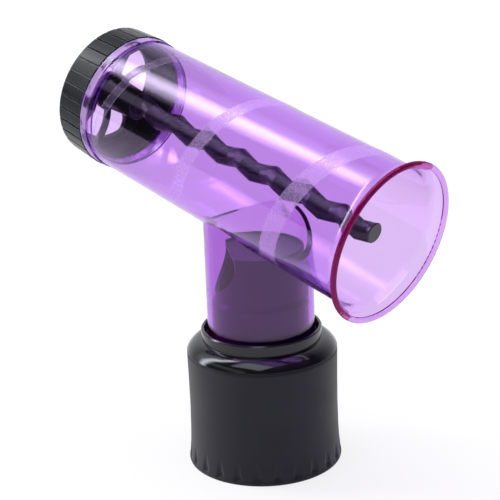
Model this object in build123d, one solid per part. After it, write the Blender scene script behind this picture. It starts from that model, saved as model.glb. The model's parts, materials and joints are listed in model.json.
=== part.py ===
"""Clip-on curl chamber for a hair dryer: a tilted clear tube on a neck, held over the dryer's
nozzle by a rubber collar.

Frame: +Z up along the neck, +X towards the side that the open mouth faces, origin at the
centre of the collar's bottom face. Everything on the tube is drawn along a local Z axis
that runs from the rear cap to the mouth, with its zero where the tube and neck axes
cross, and is then placed with on_tube(). Millimetres throughout.
"""

from build123d import *
import math
import os

# ---- where the two axes cross ----
TILT = 14.2              # degrees that the tube dips towards its mouth
AXIS_HEIGHT = 123.4      # height of the crossing over the collar's bottom face

# ---- tube, along its own axis ----
TUBE_OUTER_REAR = 28.35
TUBE_OUTER_FRONT = 29.1
TUBE_INNER_REAR = 27.1
TUBE_INNER_FRONT = 27.75
STOP_REAR = -73.8        # face that the cap closes against
STOP_FRONT = -70.4
STOP_RADIUS = 28.9
SEAT_REAR = -84.0        # end of the reduced length inside the cap
SEAT_OUTER = 27.6
SEAT_INNER = 26.2
INNER_STEP = -68.5       # where the bore opens out from the seat
FLARE_START = 63.6
RIM = 71.6               # outermost plane of the mouth
RIM_RADIUS = 32.9
BEAD = 1.15              # radius of the rolled edge of the mouth

# ---- neck, along Z ----
NECK_OUTER = 22.0
NECK_INNER = 19.95
NECK_FOOT = 43.0
FLANGE_RADIUS = 23.3
FLANGE_BOTTOM = 52.25
FLANGE_TOP = 53.2
RING_GROOVE_RADIUS = 20.9
RING_GROOVE_BOTTOM = 44.6
RING_GROOVE_TOP = 46.2

# ---- rear cap, along the tube axis ----
CAP_FRONT = -73.9
CAP_REAR = -88.3
CAP_FRONT_RADIUS = 29.3
CAP_REAR_RADIUS = 28.6
CUP_RADIUS = 24.8        # inside of the open cup
FLOOR = 2.0              # thickness of the vented floor
RIB_COUNT = 32
RIB_GAP = 0.9            # width of the groove between ribs
RIB_DEPTH = 0.75
BOSS_FRONT = -68.5
BOSS_FRONT_RADIUS = 6.0
BOSS_REAR_RADIUS = 7.2
VENT_COUNT = 3
VENT_OUTER = 21.8
VENT_INNER = 8.5
VANE = 2.5               # width of the curved blade across each vent

# ---- curl rod ----
ROD_RADIUS = 4.0
ROD_THROW = 1.13         # how far the corners of the rod's centre line lie off the tube axis
ROD_PITCH = 18.37
ROD_CORNERS = 4          # straight lengths in each turn
ROD_TIP = 61.9
ROD_START = 0.25         # a corner of the rod, and the direction it is thrown in
ROD_PHASE = 328.4
SHANK_REAR = -76.4

# ---- screw that holds the rod ----
SCREW_RADIUS = 1.45
SCREW_HEAD_RADIUS = 2.9
SCREW_HEAD = 1.9
SCREW_SEAT = -84.0
SCREW_END = -64.5

# ---- inlet adapter, along Z ----
LIP_TOP = 57.7
LIP_BASE = 53.2
LIP_RADIUS = 24.8
POCKET_RADIUS = 23.4
POCKET_FLOOR = 52.2
BEARING_BOTTOM = 46.25
SHOULDER_RADIUS = 31.0
SHOULDER_BASE = 48.5
SKIRT_OUTER = 28.0
SKIRT_INNER = 26.0
SKIRT_FOOT = 18.0

# ---- grip collar, along Z ----
COLLAR_TOP = 48.3
COLLAR_TOP_RADIUS = 31.0
COLLAR_WAIST_RADIUS = 30.7
HEM_TOP = 10.0
HEM_RADIUS = 31.9
HEM_RIM = 1.3
FLUTE_COUNT = 24
NOZZLE_RADIUS = 25.5     # dryer nozzle that the inner ribs grip
GRIP_COUNT = 12
GRIP_ANGLE = 11.5        # degrees of arc that each inner rib covers

# ---- air guide, along Z ----
GUIDE_FOOT = 46.5
GUIDE_STEP = 69.9
GUIDE_TOP = 91.4
GUIDE_SKIRT_RADIUS = 19.88
GUIDE_RADIUS = 18.4
GUIDE_WALL = 1.5
WINDOW_AZIMUTH = 234.0   # direction that the scoop window faces
WINDOW_CHORD = 11.8      # distance from the neck's axis to the plane the scoop is cut on
WINDOW_FOOT = 74.4

# ---- clearances ----
RUNNING = 0.06           # radial gap between parts that turn or slide on each other
SEAT_GAP = 0.1           # end gap between parts that only rest together


def polar(radius, degrees):
    """Point at a radius and an angle from +X."""
    angle = math.radians(degrees)
    return (radius * math.cos(angle), radius * math.sin(angle))


def turned(*lines):
    """Solid of revolution about Z from a closed run of lines drawn as (radius, height)."""
    edges = [edge for line in lines for edge in line.edges()]
    outline = Plane.XZ * make_face(edges)
    return revolve(outline, Axis.Z)


def turned_polygon(*corners):
    """Solid of revolution about Z from straight-sided (radius, height) corners."""
    outline = Plane.XZ * make_face(Polyline(*corners, close=True))
    return revolve(outline, Axis.Z)


def disc(radius, low, high):
    """Cylinder about Z between two heights."""
    return Pos(0, 0, low) * Cylinder(
        radius, high - low, align=(Align.CENTER, Align.CENTER, Align.MIN)
    )


def around(shape, count, first=0.0):
    """Copies of a shape spaced evenly about Z."""
    return [Rot(0, 0, first + 360.0 * i / count) * shape for i in range(count)]


def on_tube(shape):
    """Place a shape drawn along local Z onto the tilted tube axis."""
    return Pos(0, 0, AXIS_HEIGHT) * Rot(0, 90.0 + TILT, 0) * shape


def tube_outside():
    """Outer form of the tube: seat, stop ring, barrel and flared mouth with a rolled edge."""
    bead_centre = (RIM_RADIUS - BEAD, RIM - BEAD)
    bead_side = (bead_centre[0] - 0.4 * BEAD, RIM - 2.0 * BEAD)
    flare_middle = (
        TUBE_OUTER_FRONT + 0.25 * (bead_side[0] - TUBE_OUTER_FRONT),
        0.5 * (FLARE_START + bead_side[1]) + 0.6,
    )
    return turned(
        Polyline(
            (0, SEAT_REAR),
            (SEAT_OUTER, SEAT_REAR),
            (SEAT_OUTER, STOP_REAR),
            (STOP_RADIUS, STOP_REAR),
            (STOP_RADIUS, STOP_FRONT),
            (TUBE_OUTER_REAR, STOP_FRONT),
            (TUBE_OUTER_FRONT, FLARE_START),
        ),
        ThreePointArc((TUBE_OUTER_FRONT, FLARE_START), flare_middle, bead_side),
        ThreePointArc(bead_side, (RIM_RADIUS, RIM - BEAD), (bead_centre[0], RIM)),
        Polyline((bead_centre[0], RIM), (0, RIM), (0, SEAT_REAR)),
    )


def tube_inside():
    """Hollow of the tube, open at both ends, opening out again in the flare."""
    mouth = (RIM_RADIUS - 2.0 * BEAD, RIM - BEAD)
    middle = (
        TUBE_INNER_FRONT + 0.28 * (mouth[0] - TUBE_INNER_FRONT),
        0.5 * (FLARE_START + mouth[1]) + 0.7,
    )
    edge = (RIM_RADIUS - BEAD, RIM)
    beyond = RIM + 1.0
    return turned(
        Polyline(
            (0, SEAT_REAR - 1.0),
            (SEAT_INNER, SEAT_REAR - 1.0),
            (SEAT_INNER, INNER_STEP),
            (TUBE_INNER_REAR, INNER_STEP),
            (TUBE_INNER_FRONT, FLARE_START),
        ),
        ThreePointArc((TUBE_INNER_FRONT, FLARE_START), middle, mouth),
        ThreePointArc(mouth, (edge[0] - 0.7 * BEAD, RIM - 0.3 * BEAD), edge),
        Polyline(edge, (edge[0], beyond), (0, beyond), (0, SEAT_REAR - 1.0)),
    )


def curl_chamber():
    """Clear moulding: the tilted tube and its neck, with a bearing flange and a ring groove."""
    neck = disc(NECK_OUTER, NECK_FOOT, AXIS_HEIGHT)
    neck += disc(FLANGE_RADIUS, FLANGE_BOTTOM, FLANGE_TOP)
    body = on_tube(tube_outside()) + neck
    body -= on_tube(tube_inside())
    body -= disc(NECK_INNER, NECK_FOOT - 1.0, AXIS_HEIGHT)
    groove = disc(NECK_OUTER + 1.0, RING_GROOVE_BOTTOM, RING_GROOVE_TOP)
    groove -= disc(RING_GROOVE_RADIUS, RING_GROOVE_BOTTOM, RING_GROOVE_TOP)
    return body - groove


def vent_window():
    """One comma-shaped opening in the cap's floor, less the curved blade that crosses it."""
    head = polar(VENT_OUTER, 140.0)
    head_side = polar(15.0, 154.0)
    boss_head = polar(VENT_INNER, 150.0)
    boss_tail = polar(VENT_INNER, 46.0)
    tail = polar(VENT_OUTER - 1.8, 71.0)
    outline = Wire(
        [
            ThreePointArc(tail, polar(VENT_OUTER - 0.6, 106.0), head),
            ThreePointArc(head, polar(19.4, 149.0), head_side),
            Line(head_side, boss_head),
            ThreePointArc(boss_head, polar(VENT_INNER, 98.0), boss_tail),
            ThreePointArc(boss_tail, polar(15.6, 73.0), tail),
        ]
    )
    blade_line = ThreePointArc(polar(5.0, 99.0), polar(13.0, 116.0), polar(24.0, 106.5))
    window = make_face(outline) - trace(blade_line, VANE)
    cutter_depth = FLOOR + 2.0
    return Pos(0, 0, CAP_REAR - 1.0) * extrude(window, cutter_depth)


def rear_cap():
    """Ribbed cap: skirt outside the tube's seat, plug wall inside it, vented floor and boss."""
    floor_front = CAP_REAR + FLOOR
    body = turned_polygon(
        (0, CAP_REAR),
        (CAP_REAR_RADIUS - 0.8, CAP_REAR),
        (CAP_REAR_RADIUS, CAP_REAR + 0.8),
        (CAP_FRONT_RADIUS, CAP_FRONT - 0.4),
        (CAP_FRONT_RADIUS - 0.4, CAP_FRONT),
        (SEAT_OUTER + RUNNING, CAP_FRONT),
        (SEAT_OUTER + RUNNING, floor_front),
        (SEAT_INNER - RUNNING, floor_front),
        (SEAT_INNER - RUNNING, CAP_FRONT),
        (CUP_RADIUS, CAP_FRONT),
        (CUP_RADIUS, floor_front),
        (BOSS_REAR_RADIUS, floor_front),
        (BOSS_FRONT_RADIUS, BOSS_FRONT),
        (0, BOSS_FRONT),
    )
    groove = Box(2.0 * RIB_DEPTH, RIB_GAP, CAP_FRONT - CAP_REAR + 2.0)
    lean = math.degrees(
        math.atan((CAP_FRONT_RADIUS - CAP_REAR_RADIUS) / (CAP_FRONT - CAP_REAR))
    )
    middle_radius = 0.5 * (CAP_FRONT_RADIUS + CAP_REAR_RADIUS)
    groove = Pos(middle_radius, 0, 0.5 * (CAP_FRONT + CAP_REAR)) * Rot(0, lean, 0) * groove
    body -= around(groove, RIB_COUNT, 2.0)
    for window in around(vent_window(), VENT_COUNT):
        body -= window
    body -= disc(ROD_RADIUS + 0.05, SHANK_REAR - SEAT_GAP, BOSS_FRONT)
    body -= disc(SCREW_RADIUS + 0.25, SCREW_SEAT, SHANK_REAR)
    body -= disc(SCREW_HEAD_RADIUS + 0.3, CAP_REAR, SCREW_SEAT)
    return body


def rod_corner(index):
    """Corner of the rod's centre line, counted from the one at ROD_START."""
    turns = index / ROD_CORNERS
    x, y = polar(ROD_THROW, ROD_PHASE + 360.0 * turns)
    return (x, y, ROD_START + turns * ROD_PITCH)


def curl_rod():
    """Corkscrew rod of straight mitred lengths of round bar, with a straight shank."""
    run = ROD_PITCH / ROD_CORNERS
    first = math.floor((BOSS_FRONT - ROD_START) / run) - 1
    last = math.ceil((ROD_TIP - ROD_START) / run) + 1
    path = Polyline(*[rod_corner(index) for index in range(first, last + 1)])
    start = Plane(origin=path @ 0, z_dir=path % 0)
    bar = sweep(start * Circle(ROD_RADIUS), path=path, transition=Transition.RIGHT)
    twisted = bar & disc(2.0 * ROD_RADIUS, BOSS_FRONT + SEAT_GAP, ROD_TIP)
    tip = twisted.faces().sort_by(Axis.Z)[-1]
    twisted = chamfer(tip.edges(), 0.4)
    shank = disc(ROD_RADIUS, SHANK_REAR, BOSS_FRONT + 1.0)
    return twisted + shank - disc(SCREW_RADIUS + 0.05, SHANK_REAR - 1.0, SCREW_END + 1.0)


def rod_screw():
    """Pan-head screw from the back of the cap into the rod, with a cross recess."""
    head = disc(SCREW_HEAD_RADIUS, SCREW_SEAT - SEAT_GAP - SCREW_HEAD, SCREW_SEAT - SEAT_GAP)
    head = fillet(head.edges().sort_by(Axis.Z)[0], 0.7)
    shaft = disc(SCREW_RADIUS, SCREW_SEAT - SEAT_GAP - 0.5, SCREW_END)
    slot = Pos(0, 0, SCREW_SEAT - SEAT_GAP - SCREW_HEAD) * Box(3.4, 0.7, 1.8)
    return head + shaft - slot - Rot(0, 0, 90) * slot


def cap_gasket():
    """Flat soft ring between the end of the tube and the cap's floor."""
    front = SEAT_REAR - SEAT_GAP
    rear = CAP_REAR + FLOOR + SEAT_GAP
    return disc(SEAT_OUTER - 0.1, rear, front) - disc(SEAT_INNER + 0.1, rear, front)


def inlet_adapter():
    """Hard socket: lip and pocket, bearing for the neck, convex shoulder and long skirt."""
    shoulder_middle = polar(3.0, 55.0)
    return turned(
        Polyline(
            (LIP_RADIUS, LIP_BASE),
            (LIP_RADIUS, LIP_TOP - 0.5),
            (LIP_RADIUS - 0.4, LIP_TOP),
            (POCKET_RADIUS + 0.3, LIP_TOP),
            (POCKET_RADIUS, LIP_TOP - 0.4),
            (POCKET_RADIUS, POCKET_FLOOR),
            (NECK_OUTER + RUNNING, POCKET_FLOOR),
            (NECK_OUTER + RUNNING, BEARING_BOTTOM),
            (SKIRT_INNER - 1.4, BEARING_BOTTOM),
            (SKIRT_INNER, BEARING_BOTTOM - 4.0),
            (SKIRT_INNER, SKIRT_FOOT),
            (SKIRT_OUTER, SKIRT_FOOT),
            (SKIRT_OUTER, SHOULDER_BASE),
            (SHOULDER_RADIUS, SHOULDER_BASE),
        ),
        ThreePointArc(
            (SHOULDER_RADIUS, SHOULDER_BASE),
            (SHOULDER_RADIUS - shoulder_middle[0], SHOULDER_BASE + shoulder_middle[1]),
            (LIP_RADIUS, LIP_BASE),
        ),
    )


def neck_seal():
    """Dust ring in the pocket between the lip and the neck."""
    section = 0.5 * (POCKET_RADIUS - NECK_OUTER) - 0.08
    centre = 0.5 * (POCKET_RADIUS + NECK_OUTER)
    return Pos(0, 0, FLANGE_TOP + section + SEAT_GAP) * Torus(centre, section)


def retaining_ring():
    """Split ring sprung into the neck's groove, under the adapter's bearing."""
    low = RING_GROOVE_BOTTOM + SEAT_GAP
    high = RING_GROOVE_TOP - SEAT_GAP
    ring = disc(NECK_OUTER + 1.5, low, high) - disc(RING_GROOVE_RADIUS + 0.05, low, high)
    split = Pos(-NECK_OUTER, 0, 0.5 * (low + high)) * Box(8.0, 4.0, 3.0)
    return ring - split


def hem_flute():
    """Tapered hollow cut between two folds of the hem, fading out upwards."""
    height = HEM_TOP - HEM_RIM
    flute = Cone(2.5, 0.6, height, align=(Align.CENTER, Align.CENTER, Align.MIN))
    return Pos(HEM_RADIUS + 1.2, 0, HEM_RIM) * flute


def grip_rib():
    """Inner rib that presses on the dryer's nozzle."""
    low = 0.0
    high = SKIRT_FOOT - 0.5
    ring = disc(SKIRT_OUTER, low, high) - disc(NOZZLE_RADIUS, low, high)
    half = 0.5 * GRIP_ANGLE
    reach = 40.0
    wedge = make_face(Polyline((0, 0), polar(reach, -half), polar(reach, half), close=True))
    return ring & (Pos(0, 0, low) * extrude(wedge, high - low))


def grip_collar():
    """Soft sleeve: stretched over the adapter's skirt, with inner ribs and a fluted hem."""
    bore = SKIRT_OUTER + 0.04
    mouth = NOZZLE_RADIUS + 1.5
    body = turned_polygon(
        (mouth, 0),
        (HEM_RADIUS - 0.3, 0),
        (HEM_RADIUS, 0.3),
        (HEM_RADIUS, HEM_RIM),
        (HEM_RADIUS - 0.9, HEM_TOP),
        (COLLAR_WAIST_RADIUS, 0.5 * COLLAR_TOP),
        (COLLAR_TOP_RADIUS, COLLAR_TOP - 0.5),
        (COLLAR_TOP_RADIUS - 0.5, COLLAR_TOP),
        (bore, COLLAR_TOP),
        (bore, SKIRT_FOOT - 0.2),
        (mouth, SKIRT_FOOT - 0.2),
    )
    for flute in around(hem_flute(), FLUTE_COUNT):
        body -= flute
    for rib in around(grip_rib(), GRIP_COUNT):
        body += rib
    return body


def guide_window():
    """Cutter for the scoop: an upright half ellipse pushed out through one side of the guide."""
    half_width = math.sqrt(GUIDE_RADIUS**2 - WINDOW_CHORD**2)
    above = GUIDE_TOP + 1.0
    arc = ThreePointArc((half_width, GUIDE_TOP), (0, WINDOW_FOOT), (-half_width, GUIDE_TOP))
    sides = Polyline(
        (-half_width, GUIDE_TOP), (-half_width, above), (half_width, above), (half_width, GUIDE_TOP)
    )
    outline = make_face(arc.edges() + sides.edges())
    cutter = extrude(Plane.XZ * outline, GUIDE_RADIUS)
    return Rot(0, 0, WINDOW_AZIMUTH + 90.0) * (Pos(0, -WINDOW_CHORD, 0) * cutter)


def air_guide():
    """Insert in the neck: a capped tube that turns the dryer's air out through one side."""
    inner = GUIDE_RADIUS - GUIDE_WALL
    skirt_inner = GUIDE_SKIRT_RADIUS - GUIDE_WALL
    lid_top = GUIDE_TOP - 0.8
    body = turned_polygon(
        (skirt_inner, GUIDE_FOOT),
        (GUIDE_SKIRT_RADIUS, GUIDE_FOOT),
        (GUIDE_SKIRT_RADIUS, GUIDE_STEP),
        (GUIDE_RADIUS, GUIDE_STEP + 1.8),
        (GUIDE_RADIUS, GUIDE_TOP - 0.3),
        (GUIDE_RADIUS - 0.3, GUIDE_TOP),
        (GUIDE_RADIUS - 1.1, GUIDE_TOP),
        (GUIDE_RADIUS - 1.1, lid_top),
        (0, lid_top),
        (0, lid_top - GUIDE_WALL),
        (inner, lid_top - GUIDE_WALL),
        (inner, GUIDE_STEP),
        (skirt_inner, GUIDE_STEP - 1.8),
    )
    body -= guide_window()
    key = Pos(GUIDE_RADIUS + 0.4, 0, GUIDE_STEP + 7.0) * Box(2.0, 1.2, 12.0)
    for azimuth in (34.0, 46.0, 58.0):
        body += Rot(0, 0, azimuth) * key
    return body


ON_TUBE = {
    "rear_cap": rear_cap,
    "curl_rod": curl_rod,
    "rod_screw": rod_screw,
    "cap_gasket": cap_gasket,
}
ON_NECK = {
    "curl_chamber": curl_chamber,
    "air_guide": air_guide,
    "neck_seal": neck_seal,
    "retaining_ring": retaining_ring,
    "inlet_adapter": inlet_adapter,
    "grip_collar": grip_collar,
}

os.makedirs("parts", exist_ok=True)
for name, build in ON_TUBE.items():
    export_step(on_tube(build()), f"parts/{name}.step")
for name, build in ON_NECK.items():
    export_step(build(), f"parts/{name}.step")
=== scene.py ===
"""Looks for a clear curl chamber that clips over a hair dryer's nozzle.

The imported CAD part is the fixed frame: metres, +Z up along the neck, +X towards the side
that the open mouth faces. Soft parts are rebuilt here as meshes, and every surface gets
a node material.
"""

import json
import math

import bmesh
import bpy
from mathutils import Matrix, Vector

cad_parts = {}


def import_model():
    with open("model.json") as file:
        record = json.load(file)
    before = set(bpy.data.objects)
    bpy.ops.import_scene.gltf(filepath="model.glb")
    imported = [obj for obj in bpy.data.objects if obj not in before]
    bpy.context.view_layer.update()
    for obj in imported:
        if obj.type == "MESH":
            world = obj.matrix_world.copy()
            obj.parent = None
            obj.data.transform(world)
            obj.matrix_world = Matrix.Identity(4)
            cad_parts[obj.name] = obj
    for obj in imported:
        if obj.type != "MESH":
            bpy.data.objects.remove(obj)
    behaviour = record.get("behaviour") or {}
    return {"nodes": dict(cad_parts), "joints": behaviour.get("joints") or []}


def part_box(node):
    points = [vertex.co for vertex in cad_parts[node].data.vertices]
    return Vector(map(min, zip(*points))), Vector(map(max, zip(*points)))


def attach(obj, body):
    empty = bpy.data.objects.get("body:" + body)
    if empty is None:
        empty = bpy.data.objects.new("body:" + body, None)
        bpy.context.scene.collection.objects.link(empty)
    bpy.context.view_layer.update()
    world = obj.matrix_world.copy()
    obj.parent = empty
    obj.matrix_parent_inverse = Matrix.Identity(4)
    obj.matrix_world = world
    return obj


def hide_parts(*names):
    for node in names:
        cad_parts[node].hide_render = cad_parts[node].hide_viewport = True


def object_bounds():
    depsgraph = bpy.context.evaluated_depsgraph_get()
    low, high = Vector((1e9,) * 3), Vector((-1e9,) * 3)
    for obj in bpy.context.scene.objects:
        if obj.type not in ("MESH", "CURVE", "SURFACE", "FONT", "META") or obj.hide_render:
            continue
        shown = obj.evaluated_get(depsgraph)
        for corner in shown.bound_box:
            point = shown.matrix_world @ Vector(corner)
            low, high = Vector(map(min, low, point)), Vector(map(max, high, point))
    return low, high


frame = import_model()
CAD_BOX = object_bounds()

MM = 0.001
NODES = frame["nodes"]
scene = bpy.context.scene

# ---- the tube's axis, from the joint that the cap turns on ----
CAP_JOINT = next(j for j in frame["joints"] if j["name"] == "cap_turn")
TUBE_AXIS = -Vector(CAP_JOINT["axis"]).normalized()
JOINT_POINT = Vector(CAP_JOINT["pos_m"])
CROSSING = JOINT_POINT - TUBE_AXIS * (JOINT_POINT.x / TUBE_AXIS.x)
TUBE_SIDE = Vector((0.0, 1.0, 0.0))
TUBE_UP = TUBE_AXIS.cross(TUBE_SIDE)


# =====================================================================
# Shader helpers
# =====================================================================
class Shade:
    """A node material under construction."""

    def __init__(self, name):
        self.material = bpy.data.materials.new(name)
        self.material.use_nodes = True
        self.tree = self.material.node_tree
        self.tree.nodes.clear()
        self.output = self.tree.nodes.new("ShaderNodeOutputMaterial")

    def node(self, kind, inputs=None, **settings):
        """Adds a node. Inputs are values or other nodes' sockets, by name or index."""
        made = self.tree.nodes.new("ShaderNode" + kind)
        for key, value in settings.items():
            setattr(made, key, value)
        for key, value in (inputs or {}).items():
            if isinstance(value, bpy.types.NodeSocket):
                self.tree.links.new(value, made.inputs[key])
            else:
                made.inputs[key].default_value = value
        return made

    def math(self, operation, a, b=0.0, c=0.0, clamp=False):
        inputs = {0: a, 1: b, 2: c}
        made = self.node("Math", inputs, operation=operation, use_clamp=clamp)
        return made.outputs[0]

    def vector(self, operation, a, b=(0.0, 0.0, 0.0)):
        made = self.node("VectorMath", {0: a, 1: b}, operation=operation)
        return made.outputs["Value" if operation == "DOT_PRODUCT" else "Vector"]

    def length(self, a):
        return self.node("VectorMath", {0: a}, operation="LENGTH").outputs["Value"]

    def along_tube(self, place):
        """Distance of a place along the tube's axis, from where the neck's axis crosses it."""
        return self.vector("DOT_PRODUCT", self.vector("SUBTRACT", place, CROSSING), TUBE_AXIS)

    def across_tube(self, place):
        """From the nearest point of the tube's axis to a place."""
        out = self.vector("SUBTRACT", place, CROSSING)
        run = self.vector("DOT_PRODUCT", out, TUBE_AXIS)
        core = self.node("VectorMath", {0: TUBE_AXIS, "Scale": run}, operation="SCALE")
        return self.vector("SUBTRACT", out, core.outputs["Vector"])

    def position(self):
        """Coordinates that stay with the piece, in metres."""
        return self.node("TexCoord").outputs["Object"]

    def in_piece(self, direction):
        """A world direction, turned into the piece's own frame, which joints turn."""
        made = self.node(
            "VectorTransform",
            {"Vector": direction},
            vector_type="VECTOR",
            convert_from="WORLD",
            convert_to="OBJECT",
        )
        return made.outputs["Vector"]

    def scaled(self, vector, scale):
        return self.node("Mapping", {"Vector": vector, "Scale": scale}).outputs["Vector"]

    def noise(self, vector, scale, detail=3.0, roughness=0.55):
        inputs = {"Vector": vector, "Scale": scale, "Detail": detail, "Roughness": roughness}
        return self.node("TexNoise", inputs).outputs["Fac"]

    def spread(self, value, low, high, out_low, out_high):
        """Maps low..high to out_low..out_high, clamped."""
        inputs = {
            "Value": value,
            "From Min": low,
            "From Max": high,
            "To Min": out_low,
            "To Max": out_high,
        }
        return self.node("MapRange", inputs).outputs["Result"]

    def blend_colour(self, factor, a, b):
        made = self.node("Mix", data_type="RGBA")
        for index, value in ((0, factor), (6, a), (7, b)):
            if isinstance(value, bpy.types.NodeSocket):
                self.tree.links.new(value, made.inputs[index])
            else:
                made.inputs[index].default_value = value
        return made.outputs[2]

    def bump(self, height, distance, strength=1.0, normal=None):
        inputs = {"Height": height, "Distance": distance, "Strength": strength}
        if normal is not None:
            inputs["Normal"] = normal
        return self.node("Bump", inputs).outputs["Normal"]

    def finish(self, surface, volume=None):
        self.tree.links.new(surface, self.output.inputs["Surface"])
        if volume is not None:
            self.tree.links.new(volume, self.output.inputs["Volume"])
        return self.material


def grey(level, tint=(1.0, 1.0, 1.0)):
    return (level * tint[0], level * tint[1], level * tint[2], 1.0)


# mask for paling sharp edges: part wear, part painted highlight along the edges
def edge_wear_and_highlight(shade, radius):
    """0 on flat faces, rising to 1 along sharp edges."""
    soft = shade.node("Bevel", {"Radius": radius}, samples=4).outputs["Normal"]
    flat = shade.node("NewGeometry").outputs["Normal"]
    same = shade.vector("DOT_PRODUCT", soft, flat)
    return shade.spread(same, 0.995, 0.93, 0.0, 1.0)


def moulded(name, levels, tint, roughness, grain, edge, shine=0.5, bevel=0.25 * MM):
    """Black moulded plastic: fine grain, handling marks, edges rounded over and painted paler,
    in part as wear and in part as a painted highlight along the edges.

    levels and roughness are (least, most), edge is how far sharp edges pale (wear and painted
    edge highlight), and shine is the strength of the reflection.
    """
    shade = Shade(name)
    place = shade.position()
    cloud = shade.noise(place, 55.0, 4.0)
    speck = shade.noise(place, 2600.0, 2.0)
    scratch = shade.noise(shade.scaled(place, (90.0, 90.0, 1400.0)), 1.0, 2.0)
    edges = edge_wear_and_highlight(shade, bevel)
    base = shade.blend_colour(cloud, grey(levels[0], tint), grey(levels[1], tint))
    # sharp edges painted towards pale grey: part wear, part painted highlight along the edges
    base = shade.blend_colour(shade.math("MULTIPLY", edges, edge), base, grey(0.32, tint))
    rough = shade.spread(cloud, 0.3, 0.7, roughness[0], roughness[1])
    rough = shade.math("ADD", rough, shade.spread(scratch, 0.55, 0.8, 0.0, 0.08))
    rounded = shade.node("Bevel", {"Radius": bevel}, samples=4).outputs["Normal"]
    normal = shade.bump(speck, grain, 0.6, rounded)
    normal = shade.bump(scratch, 0.15 * grain, 0.3, normal)
    body = shade.node(
        "BsdfPrincipled",
        {
            "Base Color": base,
            "Roughness": rough,
            "Normal": normal,
            "Specular IOR Level": shine,
            "Specular Tint": (0.88, 0.88, 1.0, 1.0),
        },
    )
    return shade.finish(body.outputs[0])


# =====================================================================
# Materials
# =====================================================================
def let_light_through(shade, shader, colour):
    """Clear to shadow and diffuse rays, so that what is inside is lit without noise."""
    path = shade.node("LightPath")
    soft = shade.math(
        "MAXIMUM", path.outputs["Is Shadow Ray"], path.outputs["Is Diffuse Ray"]
    )
    passing = shade.node("BsdfTransparent", {"Color": colour})
    mixed = shade.node("MixShader", {0: soft, 1: shader.outputs[0], 2: passing.outputs[0]})
    return mixed.outputs[0]


def from_outside(shade):
    """1 where the tube's wall is seen from outside it, 0 where it is seen from within."""
    towards = shade.in_piece(shade.node("NewGeometry").outputs["Incoming"])
    out = shade.across_tube(shade.position())
    return shade.math("GREATER_THAN", shade.vector("DOT_PRODUCT", out, towards), 0.0)


DYE = (0.74, 0.0, 0.915, 1.0)         # share of each colour that the dye leaves alone
DYE_DENSITY = 372.0                   # absorbed per metre, times one less that share
SKIN_TINT = (0.93, 0.94, 0.99, 1.0)   # let through at each surface
BEAD_PAINTED_TINT = (0.97, 0.70, 0.90, 1.0)   # the same on the near side of the mouth's rolled edge, redder: painted colour for light that gathers in it
PAINTED_EDGE_GLOW = (0.40, 0.0, 0.16, 1.0)    # painted maroon glow for light that gathers in that edge and inside the neck
RING_PAINTED_LIGHT = (0.78, 0.54, 1.0, 1.0)        # pale colour painted on the ring that the cap closes against, for light refracted through its thick wall
CLEAR = (1.0, 1.0, 1.0, 1.0)
BAND_SHADE = (0.97, 0.95, 1.0, 1.0)   # tint of the light that goes through the ground band


def clear_purple():
    """Transparent purple plastic; a painted redder tint and a painted maroon glow on the mouth
    bead's near side, the glow also on the saddle's cut edge; pale light painted on the ring at the
    cap.
    """
    shade = Shade("clear_purple")
    place = shade.position()
    flow = shade.noise(shade.scaled(place, (14.0, 60.0, 40.0)), 1.0, 2.0)
    haze = shade.noise(place, 120.0, 4.0)
    fine = shade.noise(place, 900.0, 2.0)
    rough = shade.spread(haze, 0.4, 0.75, 0.0, 0.035)
    normal = shade.bump(flow, 0.25 * MM, 0.35)
    normal = shade.bump(fine, 0.001 * MM, 0.3, normal)
    along = shade.along_tube(place)
    bead = shade.spread(along, BEAD_START, BEAD_START + 0.6 * MM, 0.0, 1.0)
    # only the bead's near side, seen from outside the tube, gets the painted tint and glow
    bead = shade.math("MULTIPLY", bead, from_outside(shade))
    # painted glow: how much maroon diffuse stands in for light gathering in the thick edges
    painted_glow_share = shade.math("MAXIMUM", shade.math("MULTIPLY", bead, 0.5), saddle_painted_glow(shade, place))
    glass = shade.node(
        "BsdfGlass",
        {
            "Color": shade.blend_colour(bead, SKIN_TINT, BEAD_PAINTED_TINT),
            "Roughness": rough,
            "IOR": 1.5,
            "Normal": normal,
        },
    )
    # painted maroon glow, a diffuse mixed into the glass
    glow = shade.node("BsdfDiffuse", {"Color": PAINTED_EDGE_GLOW})
    glass = shade.node("MixShader", {0: painted_glow_share, 1: glass.outputs[0], 2: glow.outputs[0]})
    # painted light on the ring at the cap: pale diffuse patches for light refracted through its
    # thick wall
    blotch = shade.noise(shade.scaled(place, (180.0, 180.0, 180.0)), 1.0, 1.0)
    painted_ring_zone = shade.math("COMPARE", along, STOP_MIDDLE, STOP_HALF)
    cover = shade.math("MULTIPLY", painted_ring_zone, shade.spread(blotch, 0.42, 0.54, 0.05, 0.55))
    cloud = shade.node("BsdfDiffuse", {"Color": RING_PAINTED_LIGHT})
    glass = shade.node("MixShader", {0: cover, 1: glass.outputs[0], 2: cloud.outputs[0]})
    mixed = let_light_through(shade, glass, (0.86, 0.72, 0.97, 1.0))
    dye = shade.node("VolumeAbsorption", {"Color": DYE, "Density": DYE_DENSITY})
    return shade.finish(mixed, dye.outputs[0])


def saddle_painted_glow(shade, place):
    """Share of painted maroon glow on the neck's inside and on the tube's wall cut open above it.
    """
    flat = shade.vector("MULTIPLY", place, (1.0, 1.0, 0.0))
    inside_neck = shade.math("LESS_THAN", shade.length(flat), NECK_BORE + 0.3 * MM)
    out = shade.across_tube(place)
    in_wall = shade.math("GREATER_THAN", shade.length(out), BORE_BY_NECK)
    below = shade.math("LESS_THAN", shade.vector("DOT_PRODUCT", out, TUBE_UP), 0.0)
    share = shade.math("MULTIPLY", shade.math("MULTIPLY", inside_neck, in_wall), below)
    return shade.math("MULTIPLY", share, 0.12)


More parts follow.
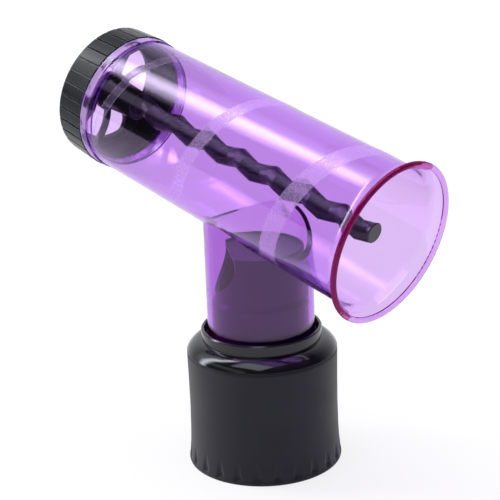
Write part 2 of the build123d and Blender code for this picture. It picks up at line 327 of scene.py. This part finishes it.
def frosted():
    """Ground band on the tube: a violet haze broken up by fine grain."""
    shade = Shade("frosted_band")
    place = shade.position()
    grain = shade.noise(place, 1300.0, 3.0, 0.7)
    cloud = shade.noise(place, 130.0, 3.0)
    rough = shade.spread(cloud, 0.3, 0.7, 0.16, 0.26)
    normal = shade.bump(grain, 0.03 * MM, 0.5)
    ground = shade.node(
        "BsdfRefraction",
        {"Color": CLEAR, "Roughness": rough, "IOR": 1.15, "Normal": normal},
    )
    clear = shade.node("BsdfTransparent", {"Color": CLEAR})
    haze = shade.node("BsdfDiffuse", {"Color": (0.72, 0.46, 1.0, 1.0), "Normal": normal})
    cover = shade.spread(grain, 0.30, 0.70, 0.15, 0.42)
    mixed = shade.node("MixShader", {0: 0.5, 1: ground.outputs[0], 2: clear.outputs[0]})
    mixed = shade.node("MixShader", {0: cover, 1: mixed.outputs[0], 2: haze.outputs[0]})
    seen = shade.math("MULTIPLY", outer_face(shade), upper_side(shade, place))
    faded = shade.spread(shade.along_tube(place), FADE_REAR, FADE_FRONT, 0.25, 1.0)
    seen = shade.math("MULTIPLY", seen, faded)
    mixed = shade.node("MixShader", {0: seen, 1: clear.outputs[0], 2: mixed.outputs[0]})
    return shade.finish(let_light_through(shade, mixed, BAND_SHADE))


def outer_face(shade):
    """1 on the band's outer face, seen from outside the tube; 0 on its other faces."""
    backfacing = shade.node("NewGeometry").outputs["Backfacing"]
    return shade.math("MULTIPLY", from_outside(shade), shade.math("SUBTRACT", 1.0, backfacing))


def upper_side(shade, place):
    """1 round most of the tube, fading to 0 on its underside."""
    out = shade.across_tube(place)
    rise = shade.math("DIVIDE", shade.vector("DOT_PRODUCT", out, TUBE_UP), shade.length(out))
    return shade.spread(rise, -0.68, -0.48, 0.0, 1.0)


def frosted_edge():
    """Paler lip along each side of the ground band."""
    shade = Shade("frosted_edge")
    grain = shade.noise(shade.position(), 700.0, 2.0)
    clear = shade.node("BsdfTransparent", {"Color": CLEAR})
    haze = shade.node("BsdfDiffuse", {"Color": (0.85, 0.70, 1.0, 1.0)})
    cover = shade.spread(grain, 0.3, 0.7, 0.10, 0.38)
    cover = shade.math("MULTIPLY", cover, outer_face(shade))
    mixed = shade.node("MixShader", {0: cover, 1: clear.outputs[0], 2: haze.outputs[0]})
    return shade.finish(let_light_through(shade, mixed, BAND_SHADE))


def rubber(name, level, tint, roughness, grain):
    """Soft matte rubber: pebbled skin, dusty highs, mould-flow variation."""
    shade = Shade(name)
    place = shade.position()
    cloud = shade.noise(place, 38.0, 5.0, 0.6)
    pebble = shade.node("TexVoronoi", {"Vector": place, "Scale": 2100.0}).outputs["Distance"]
    speck = shade.noise(place, 3800.0, 2.0)
    dust = shade.spread(speck, 0.66, 0.78, 0.0, 0.35)
    base = shade.blend_colour(cloud, grey(0.8 * level, tint), grey(1.2 * level, tint))
    base = shade.blend_colour(dust, base, grey(0.09, tint))
    rough = shade.spread(cloud, 0.3, 0.7, roughness[0], roughness[1])
    normal = shade.bump(pebble, grain, 0.5)
    normal = shade.bump(cloud, 0.05 * MM, 0.25, normal)
    body = shade.node(
        "BsdfPrincipled",
        {
            "Base Color": base,
            "Roughness": rough,
            "Normal": normal,
            "Sheen Weight": 0.12,
            "Sheen Roughness": 0.5,
            "Specular IOR Level": 0.30,
            "Specular Tint": (0.80, 0.80, 1.0, 1.0),
        },
    )
    return shade.finish(body.outputs[0])


def steel():
    """Turned screw steel with radial brushing and a blotchy tone."""
    shade = Shade("screw_steel")
    place = shade.position()
    brush = shade.noise(shade.scaled(place, (3000.0, 500.0, 500.0)), 1.0, 3.0)
    cloud = shade.noise(place, 400.0, 3.0)
    base = shade.blend_colour(cloud, grey(0.42), grey(0.62))
    rough = shade.spread(brush, 0.3, 0.7, 0.22, 0.42)
    body = shade.node(
        "BsdfPrincipled",
        {
            "Base Color": base,
            "Metallic": 1.0,
            "Roughness": rough,
            "Normal": shade.bump(brush, 0.01 * MM, 0.5),
        },
    )
    return shade.finish(body.outputs[0])


# =====================================================================
# Mesh helpers
# =====================================================================
def mesh_object(name, vertices, faces, material, smooth=True):
    mesh = bpy.data.meshes.new(name)
    mesh.from_pydata(vertices, [], faces)
    mesh.materials.append(material)
    mesh.polygons.foreach_set("use_smooth", [smooth] * len(mesh.polygons))
    made = bmesh.new()
    made.from_mesh(mesh)
    bmesh.ops.recalc_face_normals(made, faces=made.faces)
    made.to_mesh(mesh)
    made.free()
    mesh.update()
    piece = bpy.data.objects.new(name, mesh)
    scene.collection.objects.link(piece)
    return piece


def wrap_grid(columns, rows, point):
    """Closed both ways: point(column, row) on a torus-like grid."""
    vertices = [point(i, j) for i in range(columns) for j in range(rows)]
    faces = []
    for i in range(columns):
        after = (i + 1) % columns
        for j in range(rows):
            up = (j + 1) % rows
            faces.append(
                (i * rows + j, after * rows + j, after * rows + up, i * rows + up)
            )
    return vertices, faces


def resample(corners, step):
    """Points along a closed polyline at about equal steps, corners kept."""
    points = []
    for (r0, z0), (r1, z1) in zip(corners, corners[1:] + corners[:1]):
        count = max(1, round(math.hypot(r1 - r0, z1 - z0) / step))
        for k in range(count):
            t = k / count
            points.append((r0 + t * (r1 - r0), z0 + t * (z1 - z0)))
    return points


def fall(value, start, end):
    """Smooth step from 0 at start to 1 at end."""
    t = min(1.0, max(0.0, (value - start) / (end - start)))
    return t * t * (3.0 - 2.0 * t)


def on_tube(along, radius, degrees):
    """Point on the tube: distance along its axis, radius, angle from the side towards up."""
    angle = math.radians(degrees)
    across = TUBE_SIDE * math.cos(angle) + TUBE_UP * math.sin(angle)
    return CROSSING + TUBE_AXIS * along + across * radius


# =====================================================================
# Measures read off the frame
# =====================================================================
def along_range(node):
    """Lowest and highest distance along the tube's axis that a node reaches."""
    values = [(v.co - CROSSING).dot(TUBE_AXIS) for v in NODES[node].data.vertices]
    return min(values), max(values)


RIM = along_range("curl_chamber")[1]
BEAD_START = RIM - 2.4 * MM
NECK_BORE = 19.95 * MM
BORE_BY_NECK = 27.4 * MM      # about the tube's inside radius where the neck meets it
FADE_REAR = -45.0 * MM        # the ground band fades in from here
FADE_FRONT = -25.0 * MM       # to here
STOP_MIDDLE = -72.1 * MM      # the clear ring that the cap closes against
STOP_HALF = 1.8 * MM          # half its length, and a little more
COLLAR_LOW, COLLAR_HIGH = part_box("grip_collar")


# =====================================================================
# Grip collar
# =====================================================================
FLUTE_COUNT = 24
GRIP_COUNT = 12


def collar_profile(high, outer):
    """(radius, height) outline of the sleeve, wall and lip, closed."""
    bore = 28.04 * MM
    mouth = 27.0 * MM
    ledge = 17.8 * MM
    waist = outer - 1.2 * MM
    top = outer - 0.9 * MM
    corners = [
        (mouth + 0.25 * MM, 0.0),
        (outer - 0.45 * MM, 0.0),
        (outer - 0.12 * MM, 0.12 * MM),
        (outer, 0.45 * MM),
        (outer, 1.1 * MM),
        (outer - 0.25 * MM, 1.7 * MM),
        (outer - 0.45 * MM, 4.0 * MM),
        (outer - 0.8 * MM, 8.0 * MM),
        (outer - 1.0 * MM, 13.0 * MM),
        (waist, 24.0 * MM),
        (outer - 1.1 * MM, 36.0 * MM),
        (top, high - 1.0 * MM),
        (top - 0.12 * MM, high - 0.7 * MM),
        (top - 0.25 * MM, high - 0.62 * MM),
        (top - 0.12 * MM, high - 0.5 * MM),
        (top - 0.2 * MM, high - 0.15 * MM),
        (top - 0.5 * MM, high),
        (bore + 0.2 * MM, high),
        (bore, high - 0.2 * MM),
        (bore, ledge + 0.1 * MM),
        (bore - 0.1 * MM, ledge),
        (mouth + 0.15 * MM, ledge),
        (mouth, ledge - 0.15 * MM),
        (mouth, 0.25 * MM),
    ]
    return resample(corners, 0.7 * MM)


def grip_collar():
    """Sleeve with a fluted hem outside and gripping ribs inside its mouth."""
    columns = 25 * FLUTE_COUNT
    outer = COLLAR_HIGH.x
    profile = collar_profile(COLLAR_HIGH.z, outer)
    flute_top = 9.5 * MM
    flute_foot = 1.5 * MM
    rib_top = 17.6 * MM
    outer_skin = outer - 2.2 * MM
    inner_skin = 27.3 * MM

    def point(i, j):
        angle = 2.0 * math.pi * i / columns
        radius, height = profile[j]
        if radius > outer_skin and flute_foot < height < flute_top:
            rise = (height - flute_foot) / (flute_top - flute_foot)
            turn = (angle * FLUTE_COUNT / (2.0 * math.pi)) % 1.0 - 0.5
            half = 0.30 * (1.0 - 0.62 * rise)
            inside = max(0.0, 1.0 - abs(turn) / half)
            depth = 1.0 * MM * (1.0 - rise) ** 1.3 * fall(rise, 0.0, 0.06)
            radius -= depth * fall(inside, 0.0, 0.8)
        if radius < inner_skin and height < rib_top:
            turn = abs((angle * GRIP_COUNT / (2.0 * math.pi) + 0.5) % 1.0 - 0.5)
            rib = 1.0 - fall(turn, 0.17, 0.2)
            ends = fall(height, -0.2 * MM, 1.0 * MM) * (1.0 - fall(height, 17.0 * MM, rib_top))
            radius -= 1.5 * MM * rib * ends
        return (radius * math.cos(angle), radius * math.sin(angle), height)

    vertices, faces = wrap_grid(columns, len(profile), point)
    piece = mesh_object("grip_collar_soft", vertices, faces, MATERIALS["collar_rubber"])
    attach(piece, "adapter")
    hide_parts("grip_collar")


# =====================================================================
# Seals
# =====================================================================
def ring_piece(name, centre, radius, section, stretch, place, node, body):
    """Rubber ring with a slight flash line round its outside."""
    columns, rows = 240, 28

    def point(i, j):
        around = 2.0 * math.pi * i / columns
        about = 2.0 * math.pi * j / rows
        flash = 0.04 * section * math.exp(-((about % (2.0 * math.pi)) ** 2) / 0.02)
        out = radius + (section + flash) * math.cos(about)
        rise = centre + stretch * section * math.sin(about)
        return place(out, around, rise)

    vertices, faces = wrap_grid(columns, rows, point)
    piece = mesh_object(name, vertices, faces, MATERIALS["seal_black"])
    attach(piece, body)
    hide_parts(node)


def neck_seal():
    """Dust ring in the adapter's pocket."""
    low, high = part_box("neck_seal")
    section = 0.5 * (high.z - low.z)
    radius = high.x - section

    def place(out, around, rise):
        return (out * math.cos(around), out * math.sin(around), rise)

    centre = 0.5 * (low.z + high.z)
    ring_piece("neck_seal_soft", centre, radius, 0.97 * section, 1.0, place, "neck_seal", "adapter")


def cap_gasket():
    """Flat ring behind the tube's end, inside the cap."""
    low, high = along_range("cap_gasket")
    outside = 0.5 * (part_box("cap_gasket")[1].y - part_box("cap_gasket")[0].y)
    section = 0.58 * MM
    stretch = 0.5 * (high - low) / section

    def place(out, around, rise):
        return tuple(on_tube(rise, out, math.degrees(around)))

    ring_piece(
        "cap_gasket_soft",
        0.5 * (low + high),
        outside - section - 0.05 * MM,
        section,
        stretch,
        place,
        "cap_gasket",
        "gasket",
    )


# =====================================================================
# Frosted band
# =====================================================================
BAND_PITCH = 50.3 * MM
BAND_ANGLE = 140.0           # the band's middle crosses this angle at BAND_ZERO
BAND_ZERO = -7.4 * MM
BAND_WIDTH = 6.5 * MM        # there; it widens towards the mouth
BAND_WIDENING = 0.041
WALL_REAR = (-70.4 * MM, 28.35 * MM)     # place along the axis and outside radius there
WALL_FRONT = (63.6 * MM, 29.1 * MM)


def wall_radius(along):
    share = (along - WALL_REAR[0]) / (WALL_FRONT[0] - WALL_REAR[0])
    return WALL_REAR[1] + share * (WALL_FRONT[1] - WALL_REAR[1])


def frosted_band():
    """Thin helical strip, wider towards the mouth, on the outside of the tube's wall."""
    start, end = -67.6 * MM, 60.0 * MM
    lip = 0.22 * MM
    gap, thickness = 0.03 * MM, 0.06 * MM
    step = 2.0
    first = BAND_ANGLE - 360.0 * (end - BAND_ZERO) / BAND_PITCH
    last = BAND_ANGLE - 360.0 * (start - BAND_ZERO) / BAND_PITCH
    count = int((last - first) / step)
    vertices, faces, finish = [], [], []
    for i in range(count + 1):
        angle = first + i * step
        middle = BAND_ZERO - BAND_PITCH * (angle - BAND_ANGLE) / 360.0
        half = 0.5 * (BAND_WIDTH + BAND_WIDENING * (middle - BAND_ZERO))
        across = (-half, -half + lip, half - lip, half)
        for lift, edges in ((gap + thickness, across), (gap, across[::-1])):
            for edge in edges:
                place = middle + edge
                vertices.append(tuple(on_tube(place, wall_radius(place) + lift, angle)))
    for i in range(count):
        for j in range(8):
            a, b = 8 * i + j, 8 * i + (j + 1) % 8
            faces.append((a, b, b + 8, a + 8))
            finish.append(0 if j in (1, 5) else 1)
    faces.append(tuple(range(8)))
    faces.append(tuple(range(8 * count, 8 * count + 8)))
    finish += [1, 1]
    piece = mesh_object("frosted_band", vertices, faces, MATERIALS["frosted"], smooth=False)
    piece.data.materials.append(MATERIALS["frosted_edge"])
    piece.data.polygons.foreach_set("material_index", finish)
    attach(piece, "chamber")


# =====================================================================
# Stage: floor, light, camera
# =====================================================================
def floor():
    """White table: mostly its own even brightness, so that only a faint shadow shows."""
    shade = Shade("floor_white")
    place = shade.position()
    cloud = shade.noise(place, 3.0, 2.0)
    base = shade.blend_colour(cloud, grey(0.19), grey(0.21))
    paint = shade.node("BsdfDiffuse", {"Color": base})
    glow = shade.node("Emission", {"Color": grey(1.0), "Strength": 0.78})
    both = shade.node("AddShader", {0: paint.outputs[0], 1: glow.outputs[0]})
    material = shade.finish(both.outputs[0])
    half = 4.0
    corners = [(-half, -half), (half, -half), (half, half), (-half, half)]
    drop = CAD_BOX[0].z - 0.05 * MM
    vertices = [(x, y, drop) for x, y in corners]
    piece = mesh_object("floor", vertices, [(0, 1, 2, 3)], material, smooth=False)


def softbox(shade, direction, centre, run, half_width, reach, edges, level):
    """Radiance of a soft rectangular light far away in the direction centre."""
    middle = Vector(centre).normalized()
    along = Vector(run)
    along = (along - middle * along.dot(middle)).normalized()
    across = middle.cross(along)
    side = shade.math("ABSOLUTE", shade.vector("DOT_PRODUCT", direction, across))
    glow = shade.spread(side, half_width - edges[0], half_width + edges[0], 1.0, 0.0)
    place = shade.vector("DOT_PRODUCT", direction, along)
    start = shade.spread(place, reach[0] - edges[1], reach[0] + edges[1], 0.0, 1.0)
    end = shade.spread(place, reach[1] - edges[1], reach[1] + edges[1], 1.0, 0.0)
    facing = shade.math("GREATER_THAN", shade.vector("DOT_PRODUCT", direction, middle), 0.0)
    for part in (start, end, facing):
        glow = shade.math("MULTIPLY", glow, part)
    return shade.math("MULTIPLY", glow, level)


def world():
    """Studio: white behind the object, dark room on the camera's side, softboxes above."""
    made = bpy.data.worlds.new("studio")
    scene.world = made
    made.use_nodes = True
    tree = made.node_tree
    tree.nodes.clear()
    shade = Shade.__new__(Shade)
    shade.tree = tree
    seen = shade.node("LightPath").outputs["Is Camera Ray"]
    places = shade.node("TexCoord").outputs
    direction = places["Generated"]
    height = shade.node("SeparateXYZ", {0: direction}).outputs["Z"]
    ahead = shade.node("SeparateXYZ", {0: places["Camera"]}).outputs["Z"]
    wall = shade.spread(ahead, 0.0, 0.75, 0.05, 1.0)
    ceiling = shade.spread(height, 0.3, 0.9, 0.0, 0.08)
    level = shade.math("MAXIMUM", wall, ceiling)
    for box in SOFTBOXES:
        level = shade.math("ADD", level, softbox(shade, direction, *box))
    plain = shade.node("Background", {"Color": grey(1.0), "Strength": 1.0})
    graded = shade.node("Background", {"Color": (0.97, 0.98, 1.0, 1.0), "Strength": level})
    mixed = shade.node("MixShader", {0: seen, 1: graded.outputs[0], 2: plain.outputs[0]})
    output = tree.nodes.new("ShaderNodeOutputWorld")
    tree.links.new(mixed.outputs[0], output.inputs["Surface"])


# centre, run, half width, reach along the run, softness across and along, level
SOFTBOXES = (
    ((-0.377, -0.074, 0.924), (0.815, 0.567, 0.118), 0.085, (-0.85, -0.24), (0.075, 0.06), 9.5),
    ((-0.395, -0.025, 0.918), (0.486, 0.874, 0.240), 0.068, (-0.30, 0.20), (0.050, 0.14), 9.5),
    ((-0.390, 0.120, 0.910), (0.815, 0.567, 0.118), 0.20, (-0.85, 0.35), (0.10, 0.16), 1.1),
    ((-0.410, -0.680, 0.600), (0.969, 0.0, -0.245), 0.10, (-0.60, 0.60), (0.03, 0.03), 0.6),
    ((0.12, 0.0, 1.0), (0.0, 1.0, 0.0), 0.34, (-0.55, 0.55), (0.04, 0.04), 2.5),
)


def camera():
    """Long lens from the front right and a little above, rolled very slightly."""
    low, high = CAD_BOX
    target = 0.5 * (low + high) + Vector((0.0120, -0.0095, 0.0069))
    azimuth, elevation, roll = (math.radians(a) for a in (44.44, 18.06, -2.10))
    distance = 0.5878
    back = Vector(
        (
            math.sin(azimuth) * math.cos(elevation),
            -math.cos(azimuth) * math.cos(elevation),
            math.sin(elevation),
        )
    )
    data = bpy.data.cameras.new("camera")
    data.sensor_width = 36.0
    data.lens = 106.66
    data.clip_start = 0.01
    eye = bpy.data.objects.new("camera", data)
    turn = (-back).to_track_quat("-Z", "Y").to_matrix().to_4x4()
    eye.matrix_world = (
        Matrix.Translation(target + back * distance) @ turn @ Matrix.Rotation(roll, 4, "Z")
    )
    scene.collection.objects.link(eye)
    scene.camera = eye


# =====================================================================
# Build
# =====================================================================
MATERIALS = {
    "clear_purple": clear_purple(),
    "frosted": frosted(),
    "frosted_edge": frosted_edge(),
    "cap_black": moulded(
        "cap_black",
        levels=(0.004, 0.008),
        tint=(0.95, 1.0, 1.2),
        roughness=(0.20, 0.30),
        grain=0.008 * MM,
        # strong paling of the rib edges: mostly a painted edge highlight, with some wear
        edge=0.8,
        shine=0.22,
        bevel=0.26 * MM,
    ),
    "rod_black": moulded(
        "rod_black",
        levels=(0.020, 0.028),
        tint=(1.0, 0.9, 1.20),
        roughness=(0.22, 0.32),
        grain=0.004 * MM,
        edge=0.05,
    ),
    "guide_black": moulded(
        "guide_black",
        levels=(0.045, 0.060),
        tint=(0.9, 0.85, 1.2),
        roughness=(0.30, 0.45),
        grain=0.002 * MM,
        edge=0.1,
    ),
    "ring_black": moulded(
        "ring_black",
        levels=(0.012, 0.020),
        tint=(1.0, 1.0, 1.0),
        roughness=(0.30, 0.45),
        grain=0.01 * MM,
        edge=0.1,
    ),
    "adapter_black": moulded(
        "adapter_black",
        levels=(0.006, 0.010),
        tint=(0.95, 0.95, 1.2),
        roughness=(0.03, 0.08),
        grain=0.002 * MM,
        edge=0.15,
    ),
    "seal_black": rubber("seal_black", 0.010, (1.1, 0.9, 1.0), (0.5, 0.65), 0.004 * MM),
    "collar_rubber": rubber("collar_rubber", 0.015, (1.0, 0.95, 1.35), (0.50, 0.66), 0.006 * MM),
    "screw_steel": steel(),
}
for node in NODES.values():
    for slot in node.material_slots:
        name = slot.material.name.split(".")[0]
        slot.link = "OBJECT"
        slot.material = MATERIALS[name]

grip_collar()
neck_seal()
cap_gasket()
frosted_band()
floor()
world()
camera()
scene.view_settings.view_transform = "Standard"
scene.cycles.max_bounces = 24
scene.cycles.transmission_bounces = 20
scene.cycles.transparent_max_bounces = 24
